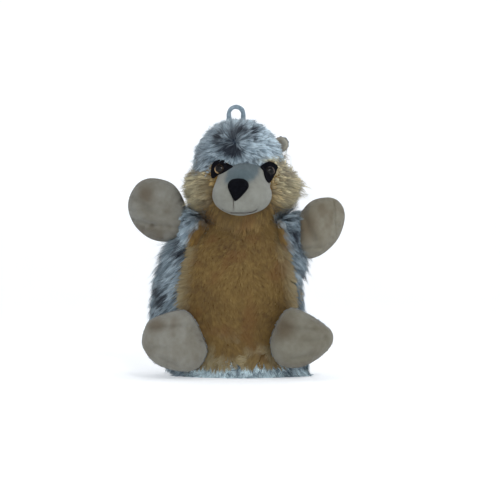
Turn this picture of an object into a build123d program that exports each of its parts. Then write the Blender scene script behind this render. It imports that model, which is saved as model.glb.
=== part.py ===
"""Hand puppet in the shape of a hedgehog: a lined fur glove with a stuffed head, stuffed paws and stuffed feet.

Frame: X to the viewer's right, -Y out of the belly, +Z up, origin at the centre of the hand opening in the
plane of the hem. "left" is the -X side. Every joint turns about a ball-shaped clearance, so that the cloth
solids on its two sides never touch.
"""

import os

from build123d import *

# Body glove: sections as height, centre x, centre y, half width, half depth
TORSO_SECTIONS = (
    (0, 0, 0, 67, 36),
    (32, -7, 0, 73, 39),
    (65, -9, 0, 74, 39),
    (95, -7, 1, 69, 36),
    (112, -5, 1.5, 62, 32),
    (126, -2, 2, 50, 27),
    (146, 3, 3, 31, 20),
)
PANEL_THICKNESS = 5.0  # fur backing with its dense pile
LINING_GAP = 0.4
LINING_THICKNESS = 1.0
HEM_HEIGHT = 8.0
HEM_GAP = 0.3
LABEL_SIZE = (16, 0.6, 24)

# Neck and head
NECK_PIVOT = Vector(3, 2, 166)
NECK_CUT_RADIUS = 28.0
NECK_OUTER_RADIUS = 27.0
NECK_INNER_RADIUS = 24.5
NECK_BOTTOM = 141.5
NECK_TOP = 170.0
CROWN = ((3, 2, 200), (41, 39, 41))
CHEEKS = {"left": ((-22, -6, 181), (22, 27, 24)), "right": ((27, -6, 182), (22, 27, 24))}
MUZZLE = ((3, -35, 172), (27, 25, 21))
BRIDGE = ((5, -30, 187), (13, 26, 14))
SKIN = 3.0  # head panels with their dense pile
VELOUR = 1.5  # short-pile cloth
STUFFING_GAP = 0.3
FACE_PLANE_Y = 8.0  # the seam between the face and the back of the head
FOREHEAD_Z = 203.0  # the seam between the forehead and the cheeks
POCKET_RADIUS = 11.0
POCKET_WALL = 1.0
POCKET_TOP = 234.0

# Face
EYE_CENTRES = {"left": (-17.5, 195.0), "right": (30.0, 193.0)}
EYE_DIRECTIONS = {"left": (-0.32, -0.93, 0.12), "right": (0.42, -0.90, 0.10)}
EYE_RADIUS = 6.2
EYE_SHANK_RADIUS = 2.0
EYE_SHANK_LENGTH = 13.0
WASHER_RADIUS = 6.5
WASHER_THICKNESS = 1.6
WASHER_DEPTH = 8.0
RUNNING_GAP = 0.1
PATCH_THICKNESS = 1.2
PATCH_OUTLINES = {
    "left": ((-24, 186), (-26, 194), (-22, 202), (-15, 204), (-5, 198), (-14, 190)),
    "right": ((29, 183.5), (23, 193), (20.5, 197), (29, 203), (38.5, 197.5), (35, 190)),
}
NOSE_HALF_WIDTH = 9.6
NOSE_TOP = 187.0
NOSE_TIP = 166.0
NOSE_X = 0.6
NOSE_BULGE = ((0.6, -57, 177), (11, 12, 13))
THREAD = 1.0
EAR_RADIUS = 8.5
EAR_THICKNESS = 6.0
EAR_CENTRES = {"left": (-29, 17, 222), "right": (40, 9, 222)}

# Hanging loop
LOOP_X = -1.5
LOOP_BASE = 242.5
LOOP_LEG = 5.0
LOOP_RADIUS = 7.5
CORD_RADIUS = 1.9

# Arms
SHOULDERS = {"left": Vector(-40, 0, 137), "right": Vector(44, 0, 134)}
PAW_CENTRES = {"left": Vector(-79, -3, 158), "right": Vector(79, -3, 142)}
PAW_RADII = {"left": (26.0, 30.0), "right": (22.5, 28.5)}
PAW_TILTS = {"left": 8.0, "right": -18.0}
PAW_THICKNESS = 30.0
PAW_ROUND = 13.0
ARM_CUT_RADIUS = 20.0
SEAM_OUTER_RADIUS = 19.2
SEAM_INNER_RADIUS = 17.2
SEAM_NEAR = 7.6
SEAM_FAR = 12.6
SLEEVE_RADIUS = 15.5
SLEEVE_BORE = 11.0
SLEEVE_BACK = 5.0
SLEEVE_LENGTH = 40.0
SOFT_GAP = 0.5

# Feet
FOOT_CENTRES = {"left": Vector(-62, -44, 36), "right": Vector(62, -44, 37)}
FOOT_RADII = (31.0, 27.0)
FOOT_TILTS = {"left": 15.0, "right": -10.0}
FOOT_THICKNESS = 34.0
FOOT_ROUND = 15.0
FOOT_CLEARANCE = 1.0

SIDES = ("left", "right")
FAR = 300.0  # longer than the puppet, for cutting blocks


def finish(piece, name):
    """Names a finished piece and writes its STEP file."""
    piece.part.label = name
    export_step(piece.part, f"parts/{name}.step")


def front_plane(centre):
    """A plane through centre that faces -Y, with its own y along +Z."""
    return Plane(origin=centre, x_dir=(1, 0, 0), z_dir=(0, -1, 0))


def torso_solid(inset):
    """The whole body glove as a closed solid, made smaller on every side by inset."""
    with BuildPart() as body:
        for height, centre_x, centre_y, half_width, half_depth in TORSO_SECTIONS:
            with BuildSketch(Plane.XY.offset(height)):
                with Locations((centre_x, centre_y)):
                    Ellipse(half_width - inset, half_depth - inset)
        loft()
    return body.part


def ellipsoid(shape, grow=0.0):
    """An ellipsoid from its centre and radii, with grow added to each radius."""
    centre, radii = shape
    with BuildPart() as body:
        Sphere(10)
        scale(by=tuple((radius + grow) / 10 for radius in radii))
    return body.part.moved(Location(centre))


def ball(centre, radius):
    with BuildPart() as body:
        with Locations(centre):
            Sphere(radius)
    return body.part


def pillow(centre, radii, tilt, thickness, rounding, inset=0.0):
    """A stuffed oval that faces -Y."""
    with BuildPart() as body:
        with BuildSketch(front_plane(centre)):
            Ellipse(radii[0] - inset, radii[1] - inset, rotation=tilt)
        extrude(amount=thickness / 2 - inset, both=True)
        fillet(body.edges(), rounding - inset)
    return body.part


def block(low, high):
    """A cutting block between two corners."""
    with BuildPart() as body:
        with Locations(tuple((a + b) / 2 for a, b in zip(low, high))):
            Box(*(b - a for a, b in zip(low, high)))
    return body.part


os.makedirs("parts", exist_ok=True)

# ---------------------------------------------------------------- body glove
torso_outer = torso_solid(0)
torso_cavity = torso_solid(PANEL_THICKNESS)
lining_outer = torso_solid(PANEL_THICKNESS + LINING_GAP)
hand_space = torso_solid(PANEL_THICKNESS + LINING_GAP + LINING_THICKNESS)
joint_clearances = [ball(NECK_PIVOT, NECK_CUT_RADIUS)] + [ball(SHOULDERS[s], ARM_CUT_RADIUS) for s in SIDES]
above_hem = Plane.XY.offset(HEM_HEIGHT + HEM_GAP)

with BuildPart() as belly_cutter:
    with BuildSketch(Plane.XZ):
        with BuildLine():
            ThreePointArc((-36, 150), (-53, 85), (-43, 0))
            Line((-43, 0), (46, 0))
            ThreePointArc((46, 0), (58, 80), (37, 150))
            Line((37, 150), (-36, 150))
        make_face()
    extrude(amount=FAR)

with BuildPart() as back_fur_panel:
    add(torso_outer)
    add(torso_cavity, mode=Mode.SUBTRACT)
    add(belly_cutter.part, mode=Mode.SUBTRACT)
    add(joint_clearances, mode=Mode.SUBTRACT)
    split(bisect_by=above_hem, keep=Keep.TOP)
finish(back_fur_panel, "back_fur_panel")

with BuildPart() as belly_panel:
    add(torso_outer)
    add(torso_cavity, mode=Mode.SUBTRACT)
    add(belly_cutter.part, mode=Mode.INTERSECT)
    add(joint_clearances, mode=Mode.SUBTRACT)
    split(bisect_by=above_hem, keep=Keep.TOP)
finish(belly_panel, "belly_panel")

with BuildPart() as body_lining:
    add(lining_outer)
    add(hand_space, mode=Mode.SUBTRACT)
    add(joint_clearances, mode=Mode.SUBTRACT)
    split(bisect_by=above_hem, keep=Keep.TOP)
finish(body_lining, "body_lining")

with BuildPart() as hem_binding:
    add(torso_outer)
    add(hand_space, mode=Mode.SUBTRACT)
    split(bisect_by=Plane.XY.offset(HEM_HEIGHT), keep=Keep.BOTTOM)
finish(hem_binding, "hem_binding")

with BuildPart() as care_label:
    with Locations((26, 24.5, 24)):
        Box(*LABEL_SIZE)
    add(torso_solid(PANEL_THICKNESS + LINING_GAP + LINING_THICKNESS + 0.2), mode=Mode.INTERSECT)
finish(care_label, "care_label")

# ---------------------------------------------------------------- neck
with BuildPart() as neck_sleeve:
    with Locations(NECK_PIVOT):
        Sphere(NECK_OUTER_RADIUS)
        Sphere(NECK_INNER_RADIUS, mode=Mode.SUBTRACT)
        Cylinder(POCKET_RADIUS, FAR, mode=Mode.SUBTRACT)
    split(bisect_by=Plane.XY.offset(NECK_BOTTOM), keep=Keep.TOP)
    split(bisect_by=Plane.XY.offset(NECK_TOP), keep=Keep.BOTTOM)
finish(neck_sleeve, "neck_sleeve")

# ---------------------------------------------------------------- head
neck_clearance = ball(NECK_PIVOT, NECK_CUT_RADIUS)


def head_mass(grow):
    """Crown and cheeks as one solid."""
    lobes = [ellipsoid(shape, grow) for shape in (CROWN, *CHEEKS.values())]
    with BuildPart() as body:
        add(lobes)
    return body.part


def snout_mass(grow):
    """Muzzle and bridge of the nose as one solid."""
    lobes = [ellipsoid(shape, grow) for shape in (MUZZLE, BRIDGE)]
    with BuildPart() as body:
        add(lobes)
    return body.part


head_outer = head_mass(0)
head_inner = head_mass(-SKIN)
snout_outer = snout_mass(0)
snout_inner = snout_mass(-VELOUR)
stuffing_lobes = [head_mass(-SKIN - STUFFING_GAP), snout_mass(-VELOUR - STUFFING_GAP)]


def surface_y(x, z, shapes, grow=0.0):
    """The furthest forward y of the head's surface at one x and z."""
    found = []
    for (cx, cy, cz), (rx, ry, rz) in shapes:
        inside = 1 - ((x - cx) / (rx + grow)) ** 2 - ((z - cz) / (rz + grow)) ** 2
        if inside > 0:
            found.append(cy - (ry + grow) * inside**0.5)
    return min(found)


def eye_plane(side, depth=0.0):
    """A plane on the head's surface under one eye, facing out, moved inwards by depth."""
    x, z = EYE_CENTRES[side]
    y = surface_y(x, z, (CROWN, *CHEEKS.values()))
    return Plane(origin=(x, y, z), z_dir=EYE_DIRECTIONS[side]).offset(-depth)


def eye_drill(side, radius, depth, length):
    """A cylinder along one eye's shank."""
    with BuildPart() as body:
        with BuildSketch(eye_plane(side, depth)):
            Circle(radius)
        extrude(amount=length)
    return body.part


shank_holes = [eye_drill(s, EYE_SHANK_RADIUS + RUNNING_GAP, EYE_SHANK_LENGTH + 1, 2 * EYE_SHANK_LENGTH) for s in SIDES]
washer_rooms = [
    eye_drill(s, WASHER_RADIUS + 0.4, WASHER_DEPTH + 0.4, WASHER_THICKNESS + 0.8) for s in SIDES
]
patch_shell = [head_mass(PATCH_THICKNESS), head_mass(0)]

with BuildPart() as finger_pocket:
    with Locations((NECK_PIVOT.X, NECK_PIVOT.Y, POCKET_TOP)):
        Cylinder(POCKET_RADIUS + POCKET_WALL, 60, align=(Align.CENTER, Align.CENTER, Align.MAX))
    with Locations((NECK_PIVOT.X, NECK_PIVOT.Y, POCKET_TOP - POCKET_WALL)):
        Cylinder(POCKET_RADIUS, 60, align=(Align.CENTER, Align.CENTER, Align.MAX), mode=Mode.SUBTRACT)
    add(neck_clearance, mode=Mode.SUBTRACT)
finish(finger_pocket, "finger_pocket")

with BuildPart() as head_stuffing:
    add(stuffing_lobes)
    add(neck_clearance, mode=Mode.SUBTRACT)
    with Locations((NECK_PIVOT.X, NECK_PIVOT.Y, POCKET_TOP + STUFFING_GAP)):
        Cylinder(
            POCKET_RADIUS + POCKET_WALL + STUFFING_GAP,
            60,
            align=(Align.CENTER, Align.CENTER, Align.MAX),
            mode=Mode.SUBTRACT,
        )
    add(shank_holes, mode=Mode.SUBTRACT)
    add(washer_rooms, mode=Mode.SUBTRACT)
finish(head_stuffing, "head_stuffing")

HEAD_BLOCKS = {
    "forehead_fur": ((-FAR, -FAR, FOREHEAD_Z), (FAR, FACE_PLANE_Y, FAR)),
    "head_back_fur": ((-FAR, FACE_PLANE_Y, 0), (FAR, FAR, FAR)),
    "cheek_left_fur": ((-FAR, -FAR, 0), (CROWN[0][0], FACE_PLANE_Y, FOREHEAD_Z)),
    "cheek_right_fur": ((CROWN[0][0], -FAR, 0), (FAR, FACE_PLANE_Y, FOREHEAD_Z)),
}
for name, corners in HEAD_BLOCKS.items():
    region = block(*corners)
    with BuildPart() as head_panel:
        add(head_outer)
        add(head_inner, mode=Mode.SUBTRACT)
        add(snout_outer, mode=Mode.SUBTRACT)
        add(neck_clearance, mode=Mode.SUBTRACT)
        add(shank_holes, mode=Mode.SUBTRACT)
        add(region, mode=Mode.INTERSECT)
    finish(head_panel, name)

with BuildPart() as muzzle_skin:
    add(snout_outer)
    add(snout_inner, mode=Mode.SUBTRACT)
    add(head_outer, mode=Mode.SUBTRACT)
    add(neck_clearance, mode=Mode.SUBTRACT)
finish(muzzle_skin, "muzzle_skin")

with BuildPart() as nose:
    with BuildSketch(front_plane((NOSE_X, -50, 0))):
        with BuildLine():
            ThreePointArc((-NOSE_HALF_WIDTH, 178), (0, NOSE_TOP), (NOSE_HALF_WIDTH, 178))
            ThreePointArc((NOSE_HALF_WIDTH, 178), (6.6, 171.5), (0.6, NOSE_TIP))
            Line((0.6, NOSE_TIP), (-0.6, NOSE_TIP))
            ThreePointArc((-0.6, NOSE_TIP), (-6.6, 171.5), (-NOSE_HALF_WIDTH, 178))
        make_face()
    extrude(amount=30)
    add(ellipsoid(NOSE_BULGE), mode=Mode.INTERSECT)
    add(snout_outer, mode=Mode.SUBTRACT)
finish(nose, "nose")

stitch_layer = [ellipsoid(MUZZLE, 0.7), ellipsoid(MUZZLE)]
with BuildPart() as mouth_stitch:
    with BuildSketch(front_plane((0, -40, 0))):
        with Locations((0, 160.6)):
            SlotCenterToCenter(11.0, THREAD, rotation=90)
        with BuildLine():
            lip = ThreePointArc((-15, 157.5), (1, 154.6), (19, 159))
            lower_lip = ThreePointArc((-15, 156.5), (1, 153.6), (19, 158))
            Line(lip @ 0, lower_lip @ 0)
            Line(lip @ 1, lower_lip @ 1)
        make_face()
    extrude(amount=60)
    add(stitch_layer[0], mode=Mode.INTERSECT)
    add([stitch_layer[1], nose.part], mode=Mode.SUBTRACT)
finish(mouth_stitch, "mouth_stitch")

for side in SIDES:
    outline = PATCH_OUTLINES[side]
    with BuildPart() as eye_patch:
        with BuildSketch(front_plane((0, 0, 0))):
            with BuildLine():
                Spline(*outline, periodic=True)
            make_face()
        extrude(amount=80)
        add(patch_shell[0], mode=Mode.INTERSECT)
        add([patch_shell[1], snout_outer, *shank_holes], mode=Mode.SUBTRACT)
    finish(eye_patch, f"eye_patch_{side}")

    with BuildPart() as eye:
        with BuildSketch(eye_plane(side)):
            Circle(EYE_RADIUS)
        extrude(amount=4.5)
        fillet(eye.faces().sort_by(Axis.Y)[0].edges(), 4.0)
        add([patch_shell[0], snout_outer], mode=Mode.SUBTRACT)
        with BuildSketch(eye_plane(side, EYE_SHANK_LENGTH)):
            Circle(EYE_SHANK_RADIUS)
        extrude(amount=EYE_SHANK_LENGTH + 3)
    finish(eye, f"eye_{side}")

    with BuildPart() as eye_washer:
        with BuildSketch(eye_plane(side, WASHER_DEPTH)):
            Circle(WASHER_RADIUS)
            Circle(EYE_SHANK_RADIUS + RUNNING_GAP / 2, mode=Mode.SUBTRACT)
        extrude(amount=WASHER_THICKNESS)
    finish(eye_washer, f"eye_washer_{side}")

    ear_centre = EAR_CENTRES[side]
    for half, keep in (("front", Keep.TOP), ("back", Keep.BOTTOM)):
        with BuildPart() as ear:
            with BuildSketch(front_plane(ear_centre)):
                Circle(EAR_RADIUS)
            extrude(amount=EAR_THICKNESS / 2, both=True)
            fillet(ear.edges(), 2.4)
            add(head_outer, mode=Mode.SUBTRACT)
            split(bisect_by=front_plane(ear_centre), keep=keep)
        finish(ear, f"ear_{side}_{half}")

# ---------------------------------------------------------------- hanging loop
with BuildPart() as hang_loop:
    with BuildLine() as loop_path:
        leg = Line((LOOP_X - LOOP_RADIUS, 2, LOOP_BASE), (LOOP_X - LOOP_RADIUS, 2, LOOP_BASE + LOOP_LEG))
        arch = ThreePointArc(
            leg @ 1,
            (LOOP_X, 2, LOOP_BASE + LOOP_LEG + LOOP_RADIUS),
            (LOOP_X + LOOP_RADIUS, 2, LOOP_BASE + LOOP_LEG),
        )
        Line(arch @ 1, (LOOP_X + LOOP_RADIUS, 2, LOOP_BASE))
    with BuildSketch(Plane(leg @ 0, z_dir=leg % 0)):
        Circle(CORD_RADIUS)
    sweep()
finish(hang_loop, "hang_loop")

# ---------------------------------------------------------------- arms
for side in SIDES:
    shoulder, paw_centre = SHOULDERS[side], PAW_CENTRES[side]
    arm_direction = (paw_centre - shoulder).normalized()
    arm_plane = Plane(origin=shoulder, z_dir=arm_direction)
    paw_shape = (paw_centre, PAW_RADII[side], PAW_TILTS[side], PAW_THICKNESS, PAW_ROUND)
    paw_outer = pillow(*paw_shape)
    paw_room = pillow(*paw_shape, inset=VELOUR)
    paw_clearance = pillow(*paw_shape, inset=-SOFT_GAP)

    with BuildPart() as shoulder_seam:
        with Locations(shoulder):
            Sphere(SEAM_OUTER_RADIUS)
            Sphere(SEAM_INNER_RADIUS, mode=Mode.SUBTRACT)
        split(bisect_by=arm_plane.offset(-SEAM_NEAR), keep=Keep.BOTTOM)
        split(bisect_by=arm_plane.offset(-SEAM_FAR), keep=Keep.TOP)
    finish(shoulder_seam, f"shoulder_seam_{side}")

    with BuildPart() as sleeve:
        with BuildSketch(arm_plane.offset(-SLEEVE_BACK)):
            Circle(SLEEVE_RADIUS)
            Circle(SLEEVE_BORE, mode=Mode.SUBTRACT)
        extrude(amount=SLEEVE_LENGTH)
        add(paw_clearance, mode=Mode.SUBTRACT)
    with BuildPart() as sleeve_near:
        add(sleeve.part.solids().sort_by(SortBy.VOLUME)[-1])
    finish(sleeve_near, f"sleeve_{side}")

    for half, keep in (("palm", Keep.TOP), ("back", Keep.BOTTOM)):
        with BuildPart() as paw:
            add(paw_outer)
            add(paw_room, mode=Mode.SUBTRACT)
            split(bisect_by=front_plane(paw_centre), keep=keep)
        finish(paw, f"paw_{side}_{half}")

    with BuildPart() as paw_stuffing:
        add(pillow(*paw_shape, inset=VELOUR + STUFFING_GAP))
    finish(paw_stuffing, f"paw_{side}_stuffing")

# ---------------------------------------------------------------- feet
torso_clearance = torso_solid(-FOOT_CLEARANCE)
torso_foot_room = torso_solid(-FOOT_CLEARANCE - VELOUR)
torso_foot_stuffing = torso_solid(-FOOT_CLEARANCE - VELOUR - STUFFING_GAP)
for side in SIDES:
    foot_centre = FOOT_CENTRES[side]
    foot_shape = (foot_centre, FOOT_RADII, FOOT_TILTS[side], FOOT_THICKNESS, FOOT_ROUND)
    foot_outer = pillow(*foot_shape)
    foot_room_whole = pillow(*foot_shape, inset=VELOUR)
    stuffing_whole = pillow(*foot_shape, inset=VELOUR + STUFFING_GAP)
    with BuildPart() as foot_room:
        add(foot_room_whole)
        add(torso_foot_room, mode=Mode.SUBTRACT)
    for half, keep in (("sole", Keep.TOP), ("upper", Keep.BOTTOM)):
        with BuildPart() as foot:
            add(foot_outer)
            add([torso_clearance, foot_room.part], mode=Mode.SUBTRACT)
            split(bisect_by=front_plane(foot_centre), keep=keep)
        finish(foot, f"foot_{side}_{half}")
    with BuildPart() as foot_stuffing:
        add(stuffing_whole)
        add(torso_foot_stuffing, mode=Mode.SUBTRACT)
    finish(foot_stuffing, f"foot_{side}_stuffing")
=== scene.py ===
"""Hedgehog hand puppet: fur, velour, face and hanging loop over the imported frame. Lengths are in
millimetres until a mesh is made; the frame itself is in metres."""

import math

import bmesh
import bpy
import numpy as np
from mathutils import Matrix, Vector
from mathutils.kdtree import KDTree


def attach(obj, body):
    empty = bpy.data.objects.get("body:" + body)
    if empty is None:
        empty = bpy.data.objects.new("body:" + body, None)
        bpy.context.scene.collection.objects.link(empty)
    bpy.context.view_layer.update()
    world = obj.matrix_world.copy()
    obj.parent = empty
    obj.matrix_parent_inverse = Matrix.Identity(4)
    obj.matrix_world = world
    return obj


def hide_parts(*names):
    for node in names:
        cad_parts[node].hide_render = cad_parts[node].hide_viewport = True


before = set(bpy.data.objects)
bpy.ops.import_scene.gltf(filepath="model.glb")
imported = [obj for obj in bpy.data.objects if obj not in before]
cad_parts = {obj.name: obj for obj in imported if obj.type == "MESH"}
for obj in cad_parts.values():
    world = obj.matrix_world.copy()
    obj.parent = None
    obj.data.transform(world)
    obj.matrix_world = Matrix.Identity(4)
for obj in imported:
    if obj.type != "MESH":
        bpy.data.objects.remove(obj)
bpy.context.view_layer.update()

MM = 0.001
SIDES = ("left", "right")
DOWN = np.array((0, 0, -1.0))
TINT = "Fur"  # the colour attribute that painted materials show

# Body sections as height, centre x, centre y, half width, half depth
SECTIONS = np.array(
    [
        (0, 3, 0, 62, 36),
        (32, -8, 0, 72, 39),
        (65, -10, 0, 72, 39),
        (95, -8.5, 1, 67.5, 36),
        (112, -5, 1.5, 65, 32),
        (126, -2, 2, 60, 28),
        (146, 3, 3, 38, 22),
    ],
    float,
)
SHOULDERS = {"left": np.array((-40.0, 0, 137)), "right": np.array((44.0, 0, 134))}
NECK = np.array((3.0, 2.0, 166.0))
NECK_RADIUS = 26.0

# The head and the muzzle are smoothly joined lobes, given as middle and radii, around where their rays start
HEAD = np.array((3.0, 0.0, 195.0))
HEAD_LOBES = (
    ((0.5, 2, 200.5), (39.5, 36.5, 41)),
    ((-22, -6, 180.5), (21.5, 25, 24)),
    ((27, -6, 181.5), (21.5, 25, 24)),
    ((3, 0, 174), (33, 30, 22)),
)
MUZZLE = np.array((3.0, -26.0, 176.0))
MUZZLE_LOBES = (
    ((-8, -41, 170.5), (16.0, 17.5, 15.5)),
    ((15, -41, 170.5), (17.0, 17.5, 15.5)),
    ((3, -37, 163), (16, 17, 12)),
    ((5, -33, 186), (14, 19, 13.5)),
    ((6, -17, 185.5), (30, 24.5, 20)),
    ((3, -30, 174), (26.5, 24, 19)),
)
HEAD_BLEND, MUZZLE_BLEND = 2.5, 3.0


# ---------------------------------------------------------------- numbers
def srgb(r, g, b):
    """A colour given as 0-255 values, as linear light."""
    c = np.array((r, g, b), float) / 255
    return np.where(c <= 0.04045, c / 12.92, ((c + 0.055) / 1.055) ** 2.4)


def unit(v):
    return v / np.maximum(np.linalg.norm(v, axis=-1, keepdims=True), 1e-9)


def smooth(low, high, x):
    t = np.clip((x - low) / (high - low), 0, 1)
    return t * t * (3 - 2 * t)


def blend(a, b, share):
    return a + (b - a) * share


def around(count):
    """Angles of a full turn in equal steps."""
    return np.linspace(0, 2 * np.pi, count + 1)[:-1]


def noise(points, size, seed):
    """Smooth random values from -1 to 1 at points in space, with features of one size."""
    table = np.random.default_rng(seed).random(8192) * 2 - 1
    p = np.asarray(points, float) / size + 512.3
    cell = np.floor(p).astype(np.int64)
    f = p - cell
    f = f * f * (3 - 2 * f)
    total = np.zeros(len(p))
    for corner in np.ndindex(2, 2, 2):
        at = cell + corner
        key = (at[:, 0] * 73856093 ^ at[:, 1] * 19349663 ^ at[:, 2] * 83492791) & 8191
        total += table[key] * np.where(corner, f, 1 - f).prod(axis=1)
    return total


def noise_vectors(points, size, seed):
    return np.stack([noise(points, size, seed + k) for k in range(3)], 1)


def fractal(points, size, seed, octaves=3):
    return sum(noise(points, size / 2**k, seed + 7 * k) / 1.8**k for k in range(octaves))


def tangent(direction, normal):
    """direction laid flat on the surface."""
    return unit(direction - (direction * normal).sum(-1, keepdims=True) * normal)


# ---------------------------------------------------------------- materials
def material(name, base, rough=0.8, sheen=0.0, bumps=(), mottle=None, painted=False, specular=0.3):
    """A node material. bumps are (noise scale, strength) pairs, mottle is (second colour, scale, low, high),
    and painted takes the colour from the vertices."""
    mat = bpy.data.materials.new(name)
    mat.use_nodes = True
    nodes, links = mat.node_tree.nodes, mat.node_tree.links
    shader = nodes["Principled BSDF"].inputs
    shader["Base Color"].default_value = (*base, 1)
    shader["Roughness"].default_value = rough
    shader["Specular IOR Level"].default_value = specular
    shader["Sheen Weight"].default_value = sheen
    shader["Sheen Roughness"].default_value = 0.5
    place = nodes.new("ShaderNodeTexCoord")

    def grain(scale, detail):
        texture = nodes.new("ShaderNodeTexNoise")
        texture.inputs["Scale"].default_value = scale
        texture.inputs["Detail"].default_value = detail
        links.new(place.outputs["Object"], texture.inputs["Vector"])
        return texture.outputs["Fac"]

    if mottle:
        second, scale, low, high = mottle
        ramp = nodes.new("ShaderNodeMapRange")
        ramp.inputs["From Min"].default_value = low
        ramp.inputs["From Max"].default_value = high
        links.new(grain(scale, 6), ramp.inputs["Value"])
        mix = nodes.new("ShaderNodeMix")
        mix.data_type = "RGBA"
        mix.inputs[6].default_value = (*base, 1)
        mix.inputs[7].default_value = (*second, 1)
        links.new(ramp.outputs["Result"], mix.inputs["Factor"])
        links.new(mix.outputs[2], shader["Base Color"])
    if painted:
        colour = nodes.new("ShaderNodeVertexColor")
        colour.layer_name = TINT
        links.new(colour.outputs["Color"], shader["Base Color"])
    target = shader["Normal"]
    for scale, strength in reversed(bumps):
        bump = nodes.new("ShaderNodeBump")
        bump.inputs["Strength"].default_value = strength
        bump.inputs["Distance"].default_value = 0.001
        links.new(grain(scale, 4), bump.inputs["Height"])
        links.new(bump.outputs["Normal"], target)
        target = bump.inputs["Normal"]
    return mat


# ---------------------------------------------------------------- meshes
def in_scene(obj):
    bpy.context.scene.collection.objects.link(obj)
    return obj


def loose_object(name, points, faces, scale=MM):
    """An object outside every scene, with its faces turned outwards."""
    mesh = bpy.data.meshes.new(name)
    mesh.from_pydata((np.asarray(points) * scale).tolist(), [], [tuple(map(int, f)) for f in faces])
    mesh.validate()
    turned = bmesh.new()
    turned.from_mesh(mesh)
    bmesh.ops.recalc_face_normals(turned, faces=turned.faces)
    turned.to_mesh(mesh)
    turned.free()
    return bpy.data.objects.new(name, mesh)


def mesh_object(name, points, faces, mat, body, slot):
    """A mesh piece from points in millimetres that rides on a body."""
    obj = in_scene(loose_object(name, points, faces))
    obj.data.shade_smooth()
    obj.data.materials.append(mat)
    if body:
        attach(obj, body)
    return obj


def grid_faces(rows, columns, wrap=True):
    """Quads of a grid of rows by columns points; columns join up if wrap."""
    r, c = np.meshgrid(np.arange(rows - 1), np.arange(columns if wrap else columns - 1), indexing="ij")
    here, beside = r * columns + c, r * columns + (c + 1) % columns
    return np.stack([here, beside, beside + columns, here + columns], -1).reshape(-1, 4)


def closed_shell(outer, inner, rows, columns, wrap):
    """Points and faces of a closed sheet with an outer and an inner grid of the same layout."""
    half = len(outer)
    front = grid_faces(rows, columns, wrap)
    ring = range(columns if wrap else columns - 1)
    edges = [(r * columns + c, r * columns + (c + 1) % columns) for r in (0, rows - 1) for c in ring]
    if not wrap:
        edges += [(r * columns + c, (r + 1) * columns + c) for c in (0, columns - 1) for r in range(rows - 1)]
    rim = [(a, a + half, b + half, b) for a, b in edges]
    return np.concatenate([outer, inner]), np.concatenate([front, front[:, ::-1] + half, np.array(rim)])


def capped(rows, first, last):
    """Points and faces of rings that are closed at both ends by a middle point each."""
    points = np.concatenate([*rows, [first], [last]])
    count = len(rows[0])
    faces = grid_faces(len(rows), count).tolist()
    for middle, start in ((len(points) - 2, 0), (len(points) - 1, len(points) - 2 - count)):
        faces += [(middle, start + k, start + (k + 1) % count) for k in range(count)]
    return points, faces


def tube_around(line, radius, closed=False, sides=8, flat=1.0, twist=0.0):
    """A tube along a line of points; flat squeezes its section and twist turns it."""
    n = len(line)
    ahead = np.roll(line, -1, 0) - np.roll(line, 1, 0)
    if not closed:
        ahead[0], ahead[-1] = line[1] - line[0], line[-1] - line[-2]
    ahead = unit(ahead)
    side = unit(np.cross(ahead, (0.0, 1.0, 0.0)))
    over = np.cross(side, ahead)
    radius, twist = (np.broadcast_to(value, n)[:, None] for value in (radius, twist))
    a, b = np.cos(around(sides)) * radius, np.sin(around(sides)) * radius * flat
    a, b = a * np.cos(twist) - b * np.sin(twist), a * np.sin(twist) + b * np.cos(twist)
    points = (line[:, None] + side[:, None] * a[..., None] + over[:, None] * b[..., None]).reshape(-1, 3)
    last = (n - 1) * sides
    faces = grid_faces(n, sides).tolist()
    if closed:
        faces += [(last + k, last + (k + 1) % sides, (k + 1) % sides, k) for k in range(sides)]
    else:
        faces += [range(sides), range(last, last + sides)]
    return points, faces


def icosphere(level):
    ball = bmesh.new()
    bmesh.ops.create_icosphere(ball, subdivisions=level, radius=1)
    points = np.array([v.co[:] for v in ball.verts])
    faces = np.array([[v.index for v in f.verts] for f in ball.faces])
    ball.free()
    return points, faces


BALL_COARSE, BALL, BALL_FINE = icosphere(4), icosphere(5), icosphere(6)


def sphere_zone(centre, radius, share, axis, low, high):
    """A closed shell of the part of a sphere between two heights along an axis through its centre, its inner
    wall at a share of the radius, and its outer surface alone."""
    points = BALL[0] * radius + centre
    depth = (points - centre) @ axis
    inside = (depth > low) & (depth < high)
    used, faces = np.unique(BALL[1][np.all(inside[BALL[1]], axis=1)], return_inverse=True)
    outer, faces, half = points[used], faces.reshape(-1, 3), len(used)
    edges = {(f[k], f[(k + 1) % 3]) for f in faces.tolist() for k in range(3)}
    rim = [(b, a, a + half, b + half) for a, b in sorted(edges) if (b, a) not in edges]
    shell = np.concatenate([outer, centre + (outer - centre) * share])
    return (shell, [*faces.tolist(), *(faces[:, ::-1] + half).tolist(), *rim]), (outer, faces)


def places(obj):
    """The vertices of a piece, in millimetres."""
    return np.array([v.co[:] for v in obj.data.vertices]) / MM


def paint(obj, colours):
    """Gives every vertex of a piece its own colour, which its material shows."""
    tint = obj.data.color_attributes.new(TINT, "FLOAT_COLOR", "POINT")
    rgba = np.concatenate([colours, np.ones((len(colours), 1))], 1)
    tint.data.foreach_set("color", rgba.astype(np.float32).reshape(-1))


def carve(obj, *cutters):
    """Takes closed cutter objects out of a piece."""
    for cutter in cutters:
        cut = obj.modifiers.new("cut", "BOOLEAN")
        cut.operation, cut.solver, cut.object = "DIFFERENCE", "EXACT", cutter
    depsgraph = bpy.context.evaluated_depsgraph_get()
    fresh = bpy.data.meshes.new_from_object(obj.evaluated_get(depsgraph))
    obj.modifiers.clear()
    obj.data = fresh
    for cutter in cutters:
        bpy.data.objects.remove(cutter)


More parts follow.
